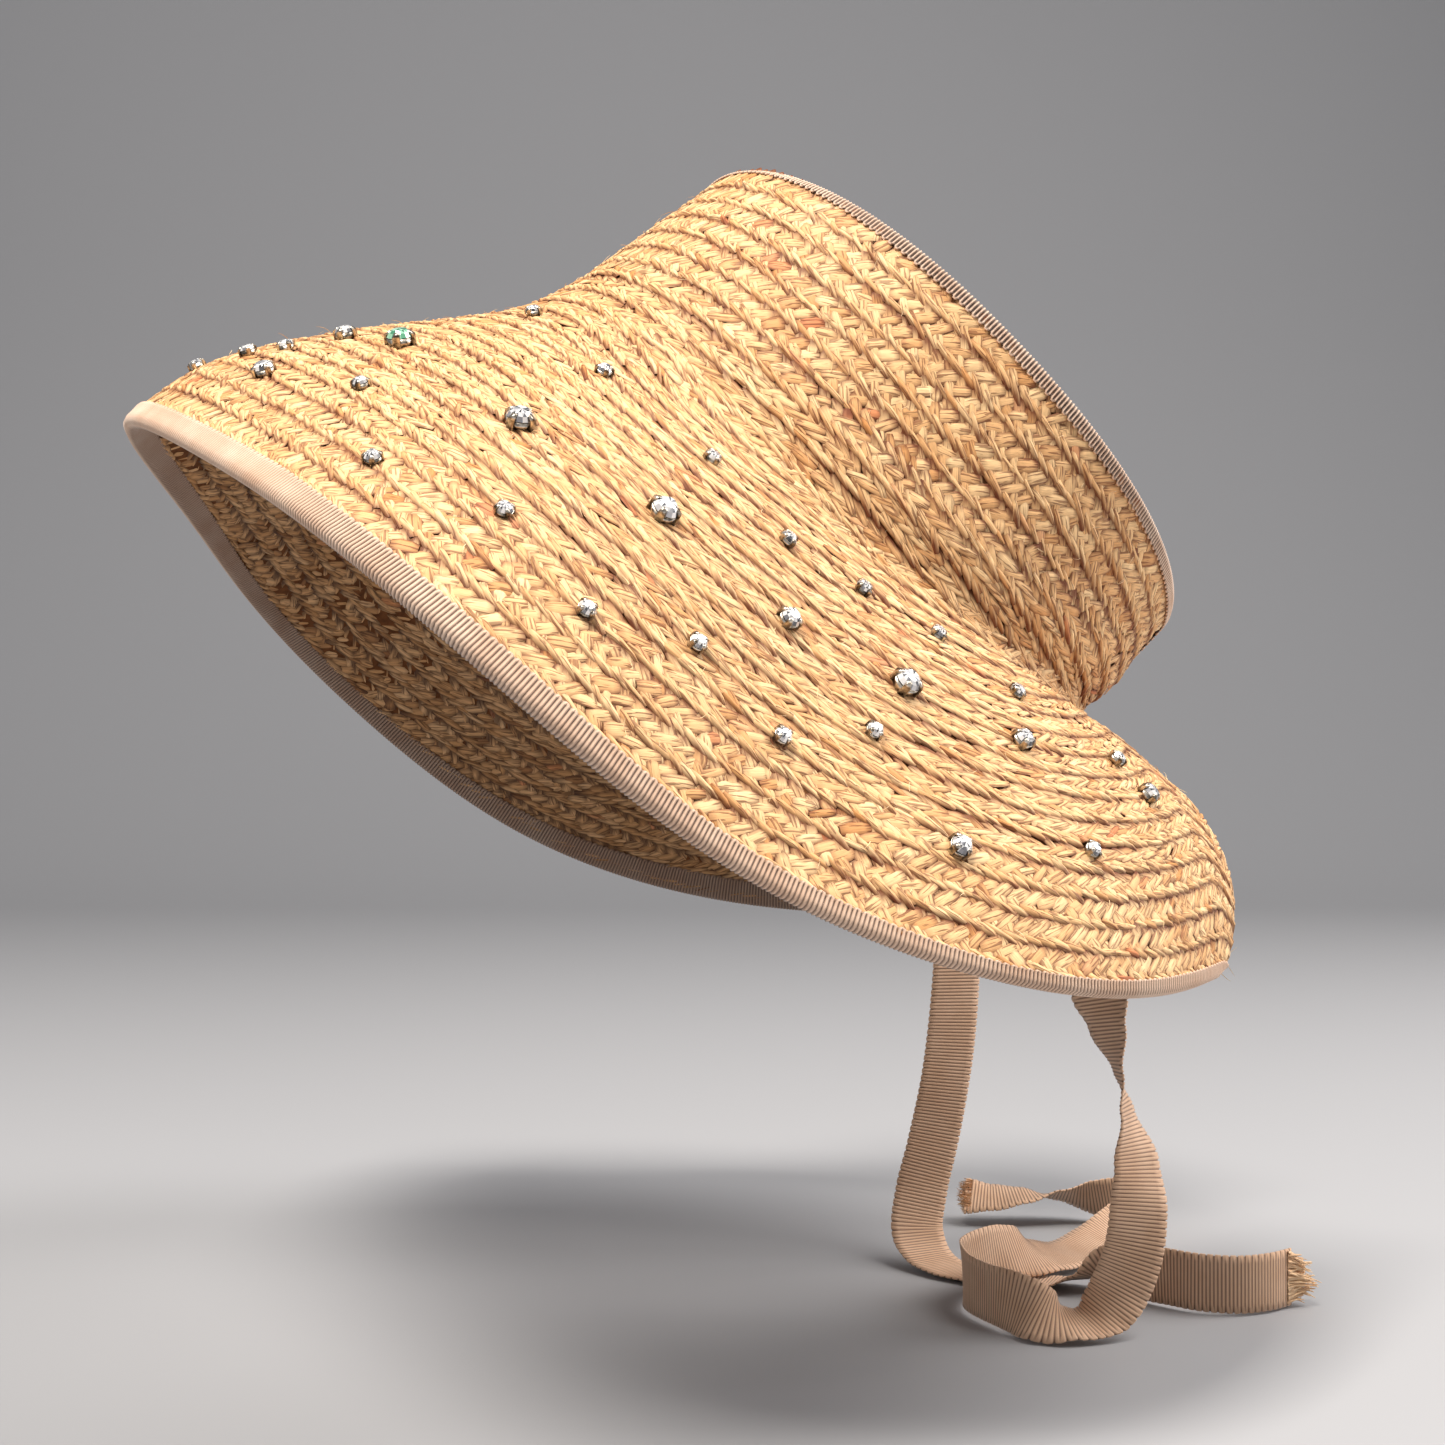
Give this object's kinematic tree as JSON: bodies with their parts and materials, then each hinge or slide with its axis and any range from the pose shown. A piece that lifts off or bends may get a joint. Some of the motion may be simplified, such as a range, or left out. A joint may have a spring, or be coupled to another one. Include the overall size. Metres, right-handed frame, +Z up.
{
  "type": "straw visor hat",
  "caption": "Straw visor hat: an open-topped crown, a deep downturned brim open at the back, ribbon-bound edges, rhinestones set on the brim and long ribbon ties",
  "frame": {"origin": "centre of the head opening, in the plane where the crown meets the brim", "axes": "the hat is tipped back 37.8 degrees as it is worn: the brim's front points along -X, +Y is the wearer's right side, +Z is up, and the crown's axis leans from +Z towards +X"},
  "size_m": [0.3371, 0.3382, 0.3334],
  "materials": {
    "straw": "sewn braid of dull golden raffia",
    "ribbon": "ribbed ribbon with a soft sheen",
    "rhinestone": "foil-backed cut glass in a plated claw cup"
  },
  "bodies": {
    "root": {"crown": "straw", "brim": "straw", "crown_binding": "ribbon", "brim_binding": "ribbon", "tie_near": "ribbon", "tie_far": "ribbon", "stone_near_01": "rhinestone", "stone_near_02": "rhinestone", "stone_near_03": "rhinestone", "stone_near_04": "rhinestone", "stone_near_05": "rhinestone", "stone_near_06": "rhinestone", "stone_near_07": "rhinestone", "stone_near_08": "rhinestone", "stone_near_09": "rhinestone", "stone_near_10": "rhinestone", "stone_near_11": "rhinestone", "stone_near_12": "rhinestone", "stone_near_13": "rhinestone", "stone_near_14": "rhinestone", "stone_near_15": "rhinestone", "stone_near_16": "rhinestone", "stone_near_17": "rhinestone", "stone_near_18": "rhinestone", "stone_near_19": "rhinestone", "stone_near_20": "rhinestone", "stone_near_21": "rhinestone", "stone_near_22": "rhinestone", "stone_near_23": "rhinestone", "stone_near_24": "rhinestone", "stone_near_25": "rhinestone", "stone_near_26": "rhinestone", "stone_near_27": "rhinestone", "stone_near_28": "rhinestone", "stone_far_01": "rhinestone", "stone_far_02": "rhinestone", "stone_far_03": "rhinestone", "stone_far_04": "rhinestone", "stone_far_05": "rhinestone", "stone_far_06": "rhinestone", "stone_far_07": "rhinestone", "stone_far_08": "rhinestone", "stone_far_09": "rhinestone", "stone_far_10": "rhinestone", "stone_far_11": "rhinestone", "stone_far_12": "rhinestone", "stone_far_13": "rhinestone"}
  },
  "joints": []
}
